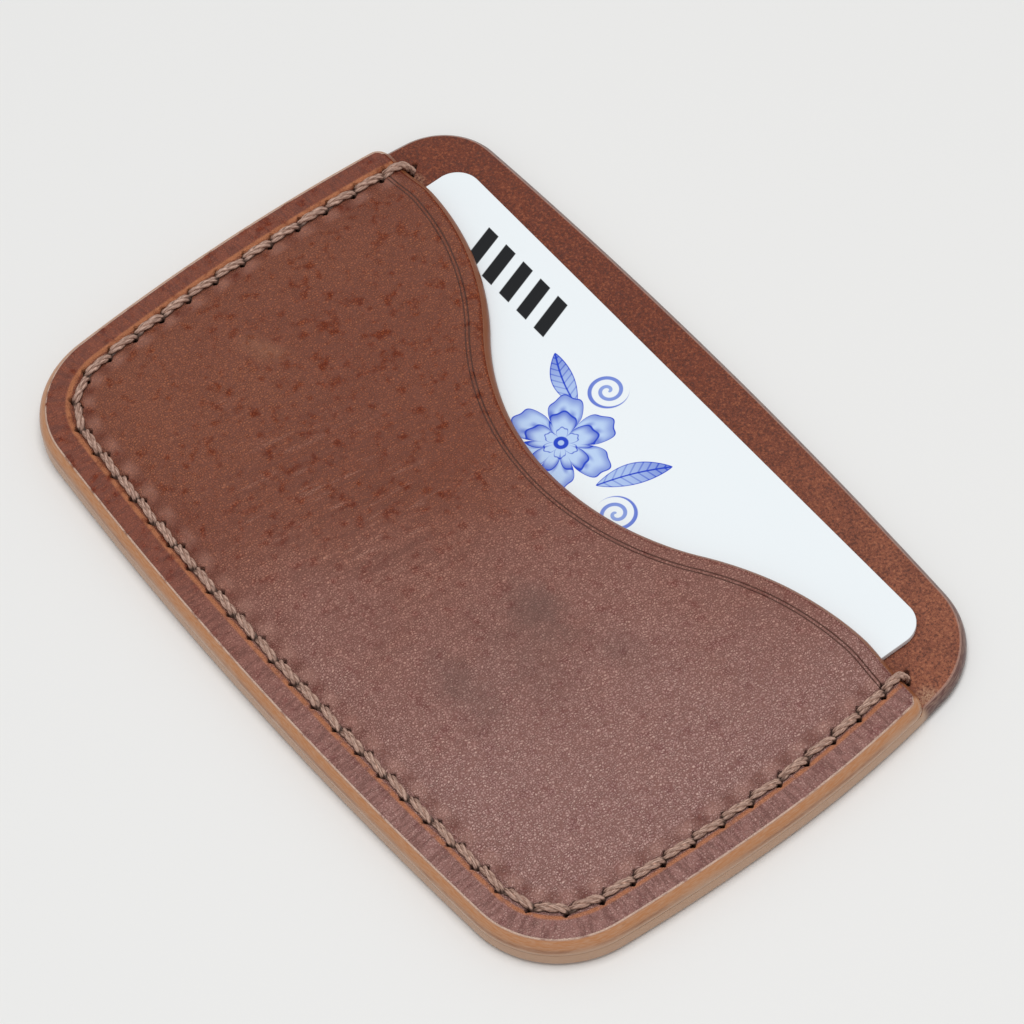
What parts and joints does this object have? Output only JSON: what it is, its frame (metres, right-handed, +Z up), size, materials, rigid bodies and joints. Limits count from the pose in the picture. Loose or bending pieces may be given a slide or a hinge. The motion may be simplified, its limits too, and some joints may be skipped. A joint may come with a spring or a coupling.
{
  "type": "leather card wallet",
  "caption": "Slim leather card wallet: stitched front pocket with a bell-shaped thumb notch and a bank card that slides out.",
  "frame": {"origin": "middle of the flat back face that the wallet lies on", "axes": "+X along the wallet's length, +Y towards the pocket mouth and the way the card slides out, +Z up from the back face through the front panel"},
  "size_m": [0.1047, 0.069, 0.0053],
  "materials": {
    "back_leather": "fine stippled brown bridle leather, burnished orange-brown edge",
    "front_leather": "waxed chestnut leather, fine pebbled grain, satin",
    "waxed_thread": "twisted waxed linen, taupe brown",
    "card_plastic": "glossy white laminate with a blue floral print"
  },
  "bodies": {
    "wallet": {"back_panel": "back_leather", "front_panel": "front_leather", "sewing_thread": "waxed_thread"},
    "card": {"bank_card": "card_plastic"}
  },
  "joints": [
    {"name": "card_slide", "type": "slide", "parent": "wallet", "child": "card", "axis": [0, 1, 0], "range_m": [0, 0.052]}
  ]
}
